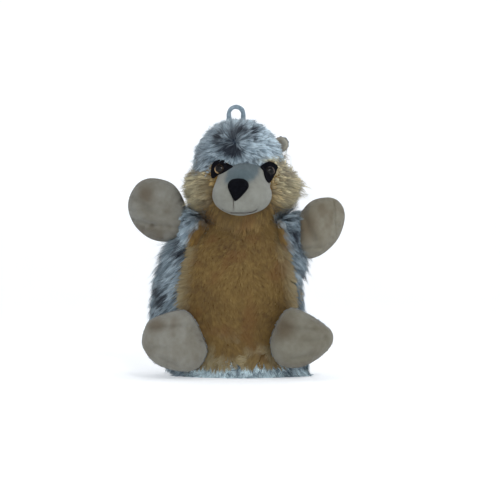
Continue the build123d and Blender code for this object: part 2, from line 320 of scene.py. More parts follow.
def cutter_ball(centre, radius):
    return in_scene(loose_object("cutter", BALL_COARSE[0] * radius + centre, BALL_COARSE[1]))


def body_holes(shoulder_radius, neck_radius):
    """Cutters for the armholes and the neck."""
    return [cutter_ball(c, shoulder_radius) for c in SHOULDERS.values()] + [cutter_ball(NECK, neck_radius)]


def cutter_tube(centre, radius, low, high):
    ends = [np.array((*centre[:2], z)) for z in (low, high)]
    ring = radius * np.stack([np.cos(around(48)), np.sin(around(48)), np.zeros(48)], 1)
    return in_scene(loose_object("cutter", *capped([end + ring for end in ends], *ends)))


def star(centre, lobes, directions, soft=HEAD_BLEND):
    """How far rays from centre go before they leave the smoothly joined lobes."""
    reach = []
    for middle, radii in lobes:
        start = (centre - np.array(middle)) / np.array(radii)
        d = directions / np.array(radii)
        a, b, c = (d * d).sum(1), (d * start).sum(1), (start * start).sum() - 1
        root = b * b - a * c
        reach.append(np.where(root > 0, (-b + np.sqrt(np.maximum(root, 0))) / a, 0))
    reach = np.array(reach)
    top = reach.max(0)
    return top + soft * np.log(np.exp((reach - top) / soft).sum(0)) - soft * 0.35


# ---------------------------------------------------------------- fur
GREY_LIGHT, GREY_MID, GREY_DARK = srgb(192, 210, 220), srgb(118, 137, 148), srgb(56, 68, 79)
TAN_TIP, TAN, TAN_DARK, TAN_RED = srgb(142, 114, 58), srgb(114, 86, 35), srgb(84, 58, 20), srgb(116, 74, 29)
NAVY, CREAM = srgb(22, 29, 41), srgb(186, 179, 146)

# Dark blotches of the grey fur as centre and radii, and how dark each group is
BLOTCHES = (
    (
        0.9,
        ((-67, -16, 81), (8, 16, 12)),
        ((-74, -2, 56), (6, 14, 7)),
        ((-47, -16, 128), (4, 14, 12)),
        ((48, -16, 135), (2.5, 14, 9)),
        ((55, -16, 112), (3, 14, 11)),
    ),
    (
        1.0,
        ((-13, -34, 228), (5, 14, 11)),
        ((-2, -34, 229), (4, 14, 8)),
        ((7, -34, 229), (5, 14, 10)),
        ((-5, -36, 217), (9, 14, 8)),
    ),
    (
        0.6,
        ((-20, 36, 110), (13, 14, 22)),
        ((28, 36, 70), (14, 14, 20)),
        ((-45, 30, 40), (12, 16, 18)),
        ((10, 38, 205), (12, 14, 18)),
        ((-25, 22, 188), (9, 14, 12)),
        ((60, 10, 95), (9, 14, 15)),
    ),
)


def blotch(points):
    """How dark the pattern of the grey fur is at points, from 0 to 1."""
    dark = np.zeros(len(points))
    warped = points + 4 * noise_vectors(points, 9, 11)
    for strength, *group in BLOTCHES:
        for centre, radii in group:
            far = np.linalg.norm((warped - centre) / np.array(radii), axis=1)
            dark = np.maximum(dark, strength * (1 - smooth(0.55, 1.5, far)))
    return dark


def three_tones(low, mid, high, level):
    return np.where(level > 0.5, blend(mid, high, level * 2 - 1), blend(low, mid, level * 2))


def grey_colours(points, seed):
    """Root and tip colours of grey fur blades: light strands, darker streaks and the dark blotches."""
    rng = np.random.default_rng(seed)
    n = len(points)
    streak = noise(points, 3.2, 33) + rng.normal(0, 1.0, n)
    level = np.clip(0.74 + 0.18 * fractal(points, 26, 31) + 0.34 * streak, 0, 1)[:, None]
    dark = np.clip(blotch(points) * 1.7 - 1.0 * rng.random(n), 0, 1)
    dark = np.maximum(dark, (rng.random(n) < 0.08) * 0.8)[:, None]
    tip = blend(three_tones(GREY_DARK, GREY_MID, GREY_LIGHT, level), NAVY, dark)
    return blend(blend(GREY_DARK, tip, 0.25), NAVY, dark), tip


def tan_colours(points, seed, pale=0.0, contrast=0.16):
    """Root and tip colours of tan fur blades, paler by pale from 0 to 1."""
    rng = np.random.default_rng(seed)
    n = len(points)
    level = 0.52 + 0.20 * fractal(points, 22, 41) + 0.10 * noise(points, 5, 43) + rng.normal(0, contrast, n)
    tip = three_tones(TAN_DARK, TAN, TAN_TIP, np.clip(level, 0, 1)[:, None])
    tip = blend(tip, TAN_RED, 0.5 * smooth(0.1, 0.9, fractal(points, 17, 47))[:, None])
    pale = (np.broadcast_to(pale, n) * rng.uniform(0.5, 1.2, n)).clip(0, 1)[:, None]
    tip = blend(tip, CREAM, pale)
    return blend(blend(TAN_DARK, tip, 0.5), TAN, 0.3 * pale), tip


def density(full):
    """Blades for each square millimetre."""
    return full


def scatter(points, faces, count, seed, keep=None):
    """Random roots on a quad or triangle surface, spread evenly, with smooth normals."""
    rng = np.random.default_rng(seed)
    faces = np.asarray(faces)
    if faces.shape[1] == 4:
        faces = np.concatenate([faces[:, :3], faces[:, [0, 2, 3]]])
    a, b, c = (points[faces[:, i]] for i in range(3))
    cross = np.cross(b - a, c - a)
    normals = np.zeros_like(points)
    for i in range(3):
        np.add.at(normals, faces[:, i], cross)
    area = np.linalg.norm(cross, axis=1) / 2
    if keep is not None:
        area = area * keep((a + b + c) / 3)
    total = int(area.sum() * count)
    pick = rng.choice(len(faces), total, p=area / area.sum())
    u, v = rng.random((2, total))
    flip = u + v > 1
    u[flip], v[flip] = 1 - u[flip], 1 - v[flip]
    w = np.stack([1 - u - v, u, v], -1)[..., None]
    corners = faces[pick]
    return (points[corners] * w).sum(1), unit((unit(normals)[corners] * w).sum(1))


def blade_mesh(name, blades, segments):
    """A mesh of separate blades, each of them pairs of points and a tip with its own cell of the bake layout,
    and how far along its blade each point is."""
    n, per = blades.shape[:2]
    quads = [(2 * k, 2 * k + 1, 2 * k + 3, 2 * k + 2) for k in range(segments - 1)]
    corners = np.array([*np.ravel(quads), 2 * segments - 2, 2 * segments - 1, 2 * segments], int)
    loops = (np.arange(n)[:, None] * per + corners).reshape(-1)
    sizes = np.tile([4] * (segments - 1) + [3], n)
    mesh = bpy.data.meshes.new(name)
    mesh.vertices.add(n * per)
    mesh.vertices.foreach_set("co", (blades * MM).astype(np.float32).reshape(-1))
    mesh.loops.add(len(loops))
    mesh.loops.foreach_set("vertex_index", loops.astype(np.int32))
    mesh.polygons.add(len(sizes))
    mesh.polygons.foreach_set("loop_start", (np.cumsum(sizes) - sizes).astype(np.int32))
    mesh.update(calc_edges=True)
    along = np.append(np.repeat(np.arange(segments) / segments, 2), 1.0)
    across = np.append(np.tile((0.05, 0.95), segments), 0.5)
    columns = math.ceil(math.sqrt(n * 1.6))
    rows = math.ceil(n / columns)
    cell = np.arange(n)[:, None]
    u, v = (cell % columns + across) / columns, (cell // columns + 0.05 + 0.9 * along) / rows
    layout = mesh.uv_layers.new(name="OFBake")
    layout.data.foreach_set("uv", np.stack([u, v], -1).reshape(-1, 2)[loops].astype(np.float32).reshape(-1))
    return mesh, along


def pile(
    name, roots, normals, comb, length, lift, colours, body, slot, seed,
    width=0.55, clump=9, cling=0.6, segments=3, floor=None, fade=1.2, uneven=0.2,
):
    """Fur as tapered blades. comb is the flat direction in which each blade lies, lift how steeply it stands
    (0 to 1). colours are (root, tip) arrays. Blades gather into tufts of about clump blades."""
    rng = np.random.default_rng(seed)
    n = len(roots)
    guides = rng.choice(n, max(1, n // clump), replace=False)
    length = np.broadcast_to(length, n) * rng.uniform(1 - uneven, 1 + 0.8 * uneven, n)
    proud = rng.uniform(1 - uneven, 1.0, len(guides)) * np.where(rng.random(len(guides)) < 0.2, 1 + uneven, 1)
    length[guides] *= proud
    lift = np.clip(np.broadcast_to(lift, n) + rng.normal(0, 0.08, n), 0.05, 1)
    comb = tangent(comb + rng.normal(0, 0.18, (n, 3)), normals)
    steps = np.arange(segments + 1) / segments
    line = np.zeros((n, segments + 1, 3))
    line[:, 0] = roots
    for k in range(1, segments + 1):
        share = (lift * (1 - 0.6 * steps[k]))[:, None]
        step = (length / segments)[:, None]
        line[:, k] = line[:, k - 1] + unit(comb * (1 - share * 0.6) + normals * share) * step
    tree = KDTree(len(guides))
    for i, g in enumerate(guides):
        tree.insert(roots[g], i)
    tree.balance()
    near = guides[np.array([tree.find(Vector(p))[1] for p in roots])]
    hold = (np.broadcast_to(cling, n) * rng.uniform(0.7, 1.15, n))[:, None, None] * (steps**1.3)[:, None]
    line = blend(line, line[near], np.clip(hold, 0, 0.95))
    if floor is not None:
        line[..., 2] = np.maximum(line[..., 2], floor + rng.uniform(0, 0.6, n)[:, None])
    heading = unit(np.gradient(line, axis=1))
    flat = unit(np.cross(heading, normals[:, None, :]) + rng.normal(0, 0.25, (n, 1, 3)))
    taper = np.array([0.8, 1.0, 0.75][:segments] + [0.0])
    half = (width / 2 * rng.uniform(0.7, 1.25, n))[:, None] * taper
    sides = np.stack([line - flat * half[..., None], line + flat * half[..., None]], 2)
    blades = np.concatenate([sides[:, :segments].reshape(n, -1, 3), line[:, segments:]], 1)
    mesh, along = blade_mesh(name, blades, segments)
    obj = in_scene(bpy.data.objects.new(name, mesh))
    root, end = ((0.3 * c + 0.7 * c[near])[:, None] for c in colours)
    paint(obj, blend(root, end, (along**fade)[:, None]).reshape(-1, 3))
    leaning = np.concatenate([np.repeat(heading[:, :segments], 2, 1), heading[:, segments:]], 1)
    mesh.shade_smooth()
    soft_normals = unit(normals[:, None] + 0.45 * leaning).reshape(-1, 3)
    mesh.normals_split_custom_set_from_vertices(soft_normals.tolist())
    mesh.materials.append(fur_material)
    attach(obj, body)
    return obj


fur_material = material("fur_pile", GREY_MID, rough=0.65, sheen=0.15, painted=True, specular=0.25)
skin_material = material("fur_backing", GREY_DARK, rough=0.9, painted=True, specular=0.1, bumps=((900, 0.5),))
lining_material = material(
    "lining_cloth",
    srgb(150, 152, 150),
    rough=0.9,
    sheen=0.2,
    mottle=(srgb(128, 130, 129), 60, 0.4, 0.6),
    bumps=((1800, 0.35), (90, 0.4)),
)


# ---------------------------------------------------------------- body
PANEL_INSET, PANEL_THICK = 3.2, 2.0
PANEL_LOW, PANEL_HIGH = 5, 147
ARMHOLE = 16.0  # radius that the panels leave free around each shoulder
BALD = 13.5  # radius around each shoulder where the panels grow no fur
PANEL_NECK_HOLE = NECK_RADIUS + 1.2
NECK_HOLE = NECK_RADIUS + 1.6  # radius that the lining and the head leave free around the neck's middle
SEAM_LEFT = np.polyfit((0, 85, 150), (-43, -53, -36), 2)
SEAM_RIGHT = np.polyfit((0, 80, 150), (46, 54, 36), 2)


def section(z):
    """Centre x, centre y, half width and half depth of the body at heights z."""
    h, v = SECTIONS[:, 0], SECTIONS[:, 1:]
    slope = np.gradient(v, h, axis=0)
    i = np.clip(np.searchsorted(h, z, side="right") - 1, 0, len(h) - 2)
    step = (h[i + 1] - h[i])[:, None]
    t = (z - h[i])[:, None] / step
    return (
        (2 * t**3 - 3 * t**2 + 1) * v[i]
        + (t**3 - 2 * t**2 + t) * step * slope[i]
        + (-2 * t**3 + 3 * t**2) * v[i + 1]
        + (t**3 - t**2) * step * slope[i + 1]
    )


def torso(angle, z, inset):
    """Points of the body at angles (-90 degrees is the front) and heights."""
    x, y, wide, deep = section(z).T
    point = np.stack([x + (wide - inset) * np.cos(angle), y + (deep - inset) * np.sin(angle), z], 1)
    out = np.stack([np.cos(angle), np.sin(angle), np.zeros_like(angle)], 1)
    return point + out * (1.1 * fractal(point, 34, 5, 2))[:, None]


def torso_panel(front, columns):
    """A closed panel of the body between its side seams, the belly if front, else the back, and its outer
    surface alone."""
    z = np.arange(PANEL_LOW, PANEL_HIGH + 1, 3.0)
    x, _, wide, _ = section(z).T
    seams = (np.clip((np.polyval(seam, z) - x) / wide, -0.97, 0.97) for seam in (SEAM_LEFT, SEAM_RIGHT))
    left, right = (-np.arccos(share) for share in seams)
    start, end = (left, right) if front else (right, left + 2 * np.pi)
    angle = blend(start[:, None], end[:, None], np.linspace(0, 1, columns)).reshape(-1)
    heights = np.repeat(z, columns)
    outer, inner = (torso(angle, heights, inset) for inset in (PANEL_INSET, PANEL_INSET + PANEL_THICK))
    return closed_shell(outer, inner, len(z), columns, False), (outer, grid_faces(len(z), columns, False))


def off_shoulders(points):
    return np.min([np.linalg.norm(points - c, axis=1) for c in SHOULDERS.values()], axis=0) > BALD


def seam_gap(points):
    """How far points of the front are inside the belly panel's side seams."""
    x, z = points[:, 0], points[:, 2]
    return np.minimum(x - np.polyval(SEAM_LEFT, z), np.polyval(SEAM_RIGHT, z) - x)


surfaces = {}
for front, name, node, slot_name, tint, columns in (
    (True, "belly_panel_backing", "belly_panel", "tan_fur", tan_colours, 60),
    (False, "back_panel_backing", "back_fur_panel", "blue_grey_fur", grey_colours, 110),
):
    shell, surfaces[node] = torso_panel(front, columns)
    panel = mesh_object(name, *shell, skin_material, None, slot_name)
    carve(panel, *body_holes(ARMHOLE, PANEL_NECK_HOLE))
    paint(panel, tint(places(panel), 1)[0] * 0.8)
    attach(panel, "body")
    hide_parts(node)

# Belly fur: short in the middle, longer and paler at its seams, its hem and its throat
roots, normals = scatter(
    *surfaces["belly_panel"], density(3.0), 101, lambda c: off_shoulders(c) & (c[:, 2] > 14)
)
swirl = np.stack([fractal(roots, 26, 51), np.zeros(len(roots)), 0.7 * fractal(roots, 26, 52)], 1)
edge = smooth(13, 1, seam_gap(roots))
low = smooth(34, 6, roots[:, 2])
throat = smooth(132, 144, roots[:, 2])
outward = np.stack([3.0 * np.sign(roots[:, 0] - 2) * edge, np.zeros(len(roots)), 0.7 * edge], 1)
tousle = noise_vectors(roots, 7, 55) * smooth(45, 15, roots[:, 2:])
creamy = smooth(-0.2, 0.5, fractal(roots, 11, 54, 2)) * smooth(52, 20, roots[:, 2])
comb = DOWN + 0.8 * swirl + outward + 1.3 * tousle
length = 6.2 + 7.0 * edge + 5.0 * low + 6.0 * throat
lift = 0.75 - 0.2 * edge + 0.1 * low
pale = 0.06 + 0.7 * edge + 0.2 * low + 0.4 * creamy
colours = [0.93 * c for c in tan_colours(roots, 102, pale, 0.2 + 0.2 * low)]
cling = 0.4 + 0.4 * np.maximum(edge, low)
pile(
    "belly_pile", roots, normals, comb, length, lift, colours,
    "body", "tan_fur", 103, width=0.5, cling=cling, segments=2, floor=0.4, fade=0.8,
)

# Back fur: long, combed down and outwards, and upwards at the rear of the neck
roots, normals = scatter(*surfaces["back_fur_panel"], density(2.2), 111, off_shoulders)
comb = DOWN + 0.4 * noise_vectors(roots, 20, 61)
comb[:, 0] += np.where(roots[:, 0] < 0, -1.1, 0.7) * smooth(12, -20, roots[:, 1])
rise = (smooth(135, 145, roots[:, 2]) * smooth(0, 12, roots[:, 1]))[:, None]
comb = blend(comb, np.array((0, 0.1, 0.9)), rise)
length = 14.0 + 6.0 * smooth(85, 125, roots[:, 2])
x = roots[:, 0]
for key, pick in (("left", x < -35), ("rear", np.abs(x) <= 35), ("right", x > 35)):
    colours = [0.88 * c for c in grey_colours(roots[pick], 112)]
    pile(
        f"back_pile_{key}", roots[pick], normals[pick], comb[pick], length[pick], 0.62, colours,
        "body", "blue_grey_fur", 113, width=0.5, clump=8, cling=0.7, floor=0.4, uneven=0.35,
    )

# Hem: a turned band with a fringe of grey fur, longer at the right front corner
HEM = ((6.0, 7.4), (6.2, 0.6), (3.2, 0.0), (2.0, 2.6), (2.0, 5.6), (3.4, 8.0))  # insets and heights
turn = around(180)
band = np.concatenate([torso(turn, np.full(180, z), inset) for inset, z in HEM])
faces = grid_faces(len(HEM) + 1, 180) % len(band)
hem = mesh_object("hem_band", band, faces, skin_material, "body", "hem_fur")
paint(hem, grey_colours(band, 2)[0])
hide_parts("hem_binding")
fringe = np.concatenate([torso(turn, np.full(180, z), 2.4) for z in (1.0, 5.0, 9.0, 14.0)])
roots, normals = scatter(fringe, grid_faces(4, 180), 2.6, 121)
root, tip = grey_colours(roots, 122)
colours = (root * 1.6, tip * 1.65 * srgb(255, 255, 248))
corner = smooth(40, 52, roots[:, 0]) * smooth(10, -5, roots[:, 1])
comb = 0.55 * DOWN + normals * 0.2 + 0.7 * noise_vectors(roots, 9, 64)
comb = comb + corner[:, None] * np.array((0.8, -0.3, -0.4))
pile(
    "hem_fringe", roots, normals, comb, 9.5 + 9.0 * corner, 0.42 + 0.15 * corner, colours,
    "body", "hem_fur", 123, width=0.6, cling=0.75, floor=0.3,
)

# Lining glove inside the body, its collar left open for the fingers
z = np.arange(1.5, 147, 3.0)
angle, heights = np.tile(turn[::2], len(z)), np.repeat(z, 90)
points, faces = closed_shell(torso(angle, heights, 6.3), torso(angle, heights, 7.1), len(z), 90, True)
points = points + 0.5 * unit(points - np.array((0, 0, 75))) * fractal(points, 12, 71)[:, None]
lining = mesh_object("lining_glove", points, faces, lining_material, None, "lining_cloth")
carve(lining, *body_holes(ARMHOLE + 3, NECK_HOLE))
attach(lining, "body")
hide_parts("body_lining")

# ---------------------------------------------------------------- neck
shell, surface = sphere_zone(NECK, NECK_RADIUS, 0.955, DOWN, -4.0, 23.5)
neck = mesh_object("neck_backing", *shell, skin_material, "neck", "tan_fur")
paint(neck, tan_colours(shell[0], 3)[0] * 0.8)
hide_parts("neck_sleeve")
roots, normals = scatter(*surface, 2.4, 131)
front = smooth(12, -6, roots[:, 1])
tan_root, tan_tip = tan_colours(roots, 132, 0.1, 0.3)
grey_root, grey_tip = grey_colours(roots, 133)
mix = (np.random.default_rng(134).random(len(roots)) < front)[:, None]
# Front strands are painted lighter than tan elsewhere, to offset the shade under the muzzle: painted light.
colours = (np.where(mix, tan_root * 1.2, grey_root), np.where(mix, tan_tip * 1.12, grey_tip))
normals = unit(normals + front[:, None] * np.array((0, -0.8, 0.6)))
comb = 0.8 * DOWN + 0.4 * noise_vectors(roots, 15, 67)
length = 10.0 + 9.0 * front + 5.0 * smooth(0.5, 0.95, np.abs(normals[:, 0]))
pile("neck_pile", roots, normals, comb, length, 0.45 + 0.4 * front, colours, "neck", "tan_fur", 135)

# ---------------------------------------------------------------- cushions
velour = material(
    "velour",
    srgb(140, 138, 130),
    rough=0.9,
    sheen=0.15,
    painted=True,
    specular=0.08,
    bumps=((1500, 0.6), (320, 0.4), (70, 0.4)),
)
seam_material = material("seam_thread", srgb(96, 92, 84), rough=0.8, bumps=((2500, 0.5),))
VELOUR_LIGHT, VELOUR_MID, VELOUR_BROWN = srgb(126, 125, 117), srgb(106, 102, 91), srgb(88, 77, 62)
SEAM_RADIUS = 0.35
CLOTH_SCALE, CLOTH_STEPS, CLOTH_CAP = 0.01, 20, 4.5  # cloth units per mm, frames, and the furthest move in mm
CLOTH = {
    "quality": 6,
    "tension_stiffness": 15,
    "compression_stiffness": 15,
    "bending_stiffness": 0.3,
    "use_pressure": True,
    "uniform_pressure_force": 4,
    "shrink_min": -0.05,
    "vertex_group_mass": "seam",
}


def fold_depth(points, folds):
    """How deep the folds are at points. A fold is (x, z) to (x, z), depth, width."""
    total = np.zeros(len(points))
    at = points[:, [0, 2]] + 0.8 * np.stack([noise(points, 9, 301), noise(points, 9, 302)], 1)
    for start, end, depth, width in folds:
        a, b = np.array(start, float), np.array(end, float)
        share = np.clip(((at - a) @ (b - a)) / ((b - a) @ (b - a)), 0, 1)
        off = np.linalg.norm(at - a - share[:, None] * (b - a), axis=1)
        ridge = np.exp(-(((off - 2.4 * width) / (1.4 * width)) ** 2))
        total += depth * (np.exp(-((off / width) ** 2)) - 0.45 * ridge)
    return total


def velour_colours(points, seed, dent_shade=(), folds=()):
    """Brushed velour: light and dark patches, brownish patches of painted shade where the cloth dips, given
    as centre and radii, and painted shade along the folds.
    """
    level = np.clip(0.55 + 0.42 * fractal(points, 16, seed) + 0.18 * fractal(points, 3.0, seed + 3), 0, 1)
    brown = smooth(0.3, 1.1, fractal(points, 18, seed + 9)) * 0.5
    # Brownish patches where the cloth dips: painted shade.
    for centre, radii in dent_shade:
        far = np.linalg.norm((points - centre) / np.array(radii), axis=1)
        brown = np.maximum(brown, 0.75 * (1 - smooth(0.2, 1.6, far)))
    colour = blend(blend(VELOUR_MID, VELOUR_LIGHT, level[:, None]), VELOUR_BROWN, brown[:, None])
    # Darker along the folds: painted shade in the creases.
    return colour * (1 - 0.08 * np.clip(fold_depth(points, folds), 0, 1.2)[:, None])


def through(points, count):
    """count points on a closed smooth curve through the given ones."""
    p = np.array(points, float)
    t = np.arange(count) * len(p) / count
    i = np.floor(t).astype(int)
    f = (t - i)[:, None]
    a, b, c, d = (p[(i + k) % len(p)] for k in (-1, 0, 1, 2))
    return 0.5 * (2 * b + (c - a) * f + (2 * a - 5 * b + 4 * c - d) * f**2 + (3 * b - a - 3 * c + d) * f**3)


def inflate(points, faces, held):
    stage = bpy.data.scenes.new("cushion")
    obj = loose_object("cushion", points, faces, CLOTH_SCALE)
    stage.collection.objects.link(obj)
    obj.vertex_groups.new(name="seam").add(held, 1.0, "REPLACE")
    cloth = obj.modifiers.new("cloth", "CLOTH")
    cloth.collision_settings.use_collision = False
    for name, value in CLOTH.items():
        setattr(cloth.settings, name, value)
    cloth.settings.effector_weights.gravity = 0
    for step in range(1, CLOTH_STEPS + 1):
        stage.frame_set(step)
    swollen = obj.evaluated_get(stage.view_layers[0].depsgraph).to_mesh()
    move = np.array([v.co[:] for v in swollen.vertices]) / CLOTH_SCALE - points
    obj.to_mesh_clear()
    bpy.data.objects.remove(obj)
    bpy.data.scenes.remove(stage)
    far = np.linalg.norm(move, axis=1, keepdims=True)
    return points + move * np.minimum(1, CLOTH_CAP / np.maximum(far, 1e-6))


def pillow_half(centre, outline, thick, face, seed, columns=128, rings=40, folds=(), stuffed=False):
    """Half of a stuffed pillow, the front if face is -1, the back if 1, closed by a flat side at its seam.
    Cloth pressure swells it if it is stuffed."""
    x, z = through(outline, columns).T - centre[[0, 2], None]
    share = np.sin(np.linspace(0.02, np.pi / 2, rings))[:, None]
    depth = np.broadcast_to(thick / 2 * (1 - share**2.6) ** 0.5, (rings, columns))
    points = (centre + np.stack([share * x, face * depth, share * z], -1)).reshape(-1, 3)
    edge = np.repeat(share, columns)
    lumps = (1.9 * fractal(points, 24, seed, 2) + 0.6 * fractal(points, 8, seed + 4, 2)) * (1 - edge**6)
    crease = np.abs(np.sin(10 * np.tile(around(columns), rings) + 2.5 * noise(points, 20, seed + 5)))
    crease = crease * smooth(0.66, 0.93, edge) * (1 - smooth(0.97, 1.0, edge))
    points[:, 1] += face * (lumps - (0.4 if stuffed else 1.0) * crease)
    n = len(points)
    points, faces = capped(points.reshape(rings, columns, 3), points[:columns].mean(0), centre)
    if stuffed:
        points = inflate(points, faces, [*range(n - columns, n), n + 1])
    points[:, 1] -= face * fold_depth(points, folds) * smooth(1.0, 0.9, np.append(edge, (0.0, 1.0)))
    return points, faces


def outline_tube(centre, outline, seed):
    """A closed ring of seam along a pillow's edge."""
    x, z = through(outline, 160).T
    line = np.stack([x, np.full(160, float(centre[1])), z], 1)
    line[:, 1] += 0.25 * noise(line, 6, seed)
    return tube_around(line, SEAM_RADIUS, closed=True)


def quads_only(faces):
    return np.array([f for f in faces if len(f) == 4])


# ---------------------------------------------------------------- arms
PAWS = {
    "left": (
        np.array((-79.0, -3, 158)),
        (
            (-81, 188), (-95, 183.5), (-103.5, 170), (-104, 156), (-97, 141.5), (-84, 131),
            (-69, 128), (-55, 133), (-49.5, 147), (-51, 164), (-62, 182),
        ),
    ),
    "right": (
        np.array((79.0, -3, 142)),
        (
            (82, 169.5), (94, 167), (101, 157), (100.5, 144), (94, 129), (81, 116.5),
            (68, 112), (57.5, 118), (55, 132), (57, 149), (68, 164.5),
        ),
    ),
}
PAW_THICK = 26.0
PAW_FOLDS = {
    "left": (
        ((-103, 150), (-80, 143), 1.6, 1.8),
        ((-80, 143), (-52, 141), 1.2, 1.8),
        ((-99, 170), (-84, 158), 1.3, 3.0),
    ),
    "right": (
        ((91, 166), (93, 132), 0.9, 0.7),
        ((62, 156), (72, 128), 1.3, 3.0),
        ((60, 120), (78, 122), 1.2, 2.0),
    ),
}
PAW_TINT = {"left": np.array((0.84, 0.84, 0.84)), "right": np.array((0.92, 0.88, 0.80))}
# Brownish patches of painted shade where each paw's cloth dips, as centre and radii.
PAW_DENT_SHADE = {"left": [((-87, -14, 172), (8, 14, 9))], "right": [((65, -14, 142), (11, 12, 16))]}
# The paws' back halves are painted darker than their palms: painted shade.
PAW_BACK_PAINTED_SHADE = 0.8
SLEEVE_ALONG = np.linspace(-5, 27, 17)  # from the shoulder towards the paw
SLEEVE_RADIUS = np.interp(SLEEVE_ALONG, (-5, 2, 10, 18, 27), (15.4, 16.5, 14.0, 11.0, 8.0))
GATHER_RADIUS = 18.2
gather_material = material(
    "gathered_fur_backing", GREY_DARK, rough=0.9, mottle=(GREY_MID, 160, 0.4, 0.6), bumps=((900, 0.5),)
)


def sleeve_tube(shoulder, axis, radius):
    """A grid of points round the arm's axis, 64 to a ring."""
    across = unit(np.cross(axis, (0, 1.0, 0)))
    turn = around(64)[:, None]
    rim = np.cos(turn) * across + np.sin(turn) * np.cross(axis, across)
    return (shoulder + SLEEVE_ALONG[:, None, None] * axis + radius[:, None, None] * rim).reshape(-1, 3)


for seed, side in enumerate(SIDES):
    shoulder = SHOULDERS[side]
    centre, outline = PAWS[side]
    body = f"arm_{side}"
    for half, face, dent_shade, shade, filling in (
        ("palm", -1, PAW_DENT_SHADE[side], 1.0, [f"paw_{side}_stuffing"]),
        ("back", 1, (), PAW_BACK_PAINTED_SHADE, []),
    ):
        lumps, folds = 200 + 10 * seed + face, PAW_FOLDS[side]
        points, faces = pillow_half(centre, outline, PAW_THICK, face, lumps, folds=folds, stuffed=True)
        paw = mesh_object(f"paw_{side}_{half}_cover", points, faces, velour, body, "beige_velour")
        # shade darkens the back half: painted shade.
        paint(paw, PAW_TINT[side] * shade * velour_colours(points, 210 + seed, dent_shade, folds))
        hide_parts(f"paw_{side}_{half}", *filling)
    mesh_object(f"paw_{side}_seam", *outline_tube(centre, outline, seed), seam_material, body, "beige_velour")

    axis = unit(centre - shoulder)
    outer = sleeve_tube(shoulder, axis, SLEEVE_RADIUS)
    inner = sleeve_tube(shoulder, axis, np.minimum(SLEEVE_RADIUS - 1.2, 13.0))
    shell = closed_shell(outer, inner, len(SLEEVE_ALONG), 64, True)
    sleeve = mesh_object(f"sleeve_{side}_backing", *shell, skin_material, body, "blue_grey_fur")
    paint(sleeve, grey_colours(shell[0], 5)[0])
    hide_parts(f"sleeve_{side}")

    # Sleeve fur hangs down and outwards, shorter towards the paw; its inner side is tan like the belly
    roots, normals = scatter(outer, grid_faces(len(SLEEVE_ALONG), 64), density(2.3), 141 + seed)
    along_arm = (roots - shoulder) @ axis
    off_axis = roots - shoulder - along_arm[:, None] * axis
    normals = normals * np.sign((normals * off_axis).sum(1))[:, None]
    outer_end = smooth(4, 16, along_arm)
    in_front = smooth(0.2, 0.8, -normals[:, 1])
    comb = np.array((0.7 * np.sign(shoulder[0]), -0.15, -1.0)) + 0.3 * axis * outer_end[:, None]
    comb = comb + 0.3 * noise_vectors(roots, 16, 74)
    length = 22.0 * (1 - outer_end * (0.45 + 0.25 * in_front)) * (1 - 0.2 * in_front)
    lift = 0.42 + 0.3 * smooth(0.2, 0.9, normals[:, 2]) - 0.2 * outer_end
    on_belly = smooth(-3, 3, seam_gap(roots) + 2 * noise(roots, 4, 77)) * in_front * smooth(8, 1, along_arm)
    tones = zip(grey_colours(roots, 143), tan_colours(roots, 142))
    colours = [blend(grey, tan, on_belly[:, None]) for grey, tan in tones]
    pile(
        f"sleeve_{side}_pile", roots, normals, comb, length, lift, colours,
        body, "blue_grey_fur", 144 + seed, clump=12, cling=0.65,
    )

    shell, _ = sphere_zone(shoulder, GATHER_RADIUS, 0.93, axis, -12.8, -7.4)
    body = f"shoulder_{side}"
    gather = mesh_object(f"armhole_{side}_gather", *shell, gather_material, body, "blue_grey_fur")
    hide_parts(f"shoulder_seam_{side}")

# ---------------------------------------------------------------- feet
FEET = {
    "left": (
        np.array((-60.0, -44, 36)),
        (
            (-83, 52), (-69, 60), (-52, 63.5), (-42, 57.5), (-33, 40), (-29, 25),
            (-38, 10.5), (-56, 8), (-77, 16), (-88, 33),
        ),
    ),
    "right": (
        np.array((59.0, -44, 36)),
        (
            (44, 62.5), (55, 64.5), (72, 56), (87, 43), (84, 28.5), (67, 15),
            (52, 11), (37, 16), (30.5, 32), (35.5, 50),
        ),
    ),
}
SOLE_THICK, UPPER_THICK = 30.0, 31.0
FOOT_GAP = 1.4  # room between a foot and the body behind it
# Brownish patches of painted shade where each foot's cloth dips, as centre and radii.
FOOT_DENT_SHADE = {"left": [((-76, -58, 51), (10, 14, 7))], "right": [((42, -58, 49), (11, 14, 12))]}
FOOT_TINT = {"left": np.array((0.97, 0.97, 0.97)), "right": np.array((0.86, 0.84, 0.78))}
FOOT_FOLDS = {
    "left": (
        ((-80, 48), (-48, 51), 1.3, 2.4),
        ((-72, 22), (-55, 14), 1.2, 2.2),
        ((-83, 30), (-66, 30), 0.9, 2.6),
    ),
    "right": (
        ((42, 50), (70, 47), 1.3, 2.4),
        ((50, 20), (68, 24), 1.2, 2.4),
        ((62, 36), (80, 40), 0.9, 2.8),
    ),
}


def before_body(points, foremost):
    """Points moved forward where they would lie in the body, but no further than foremost."""
    x, y, wide, deep = section(points[:, 2]).T
    share = (points[:, 0] - x) / wide
    wall = y - deep * np.sqrt(np.clip(1 - share**2, 0, 1)) - FOOT_GAP
    held = np.minimum(points[:, 1], np.maximum(wall, foremost))
    points[:, 1] = np.where(np.abs(points[:, 0] - x) < wide, held, points[:, 1])
    return points


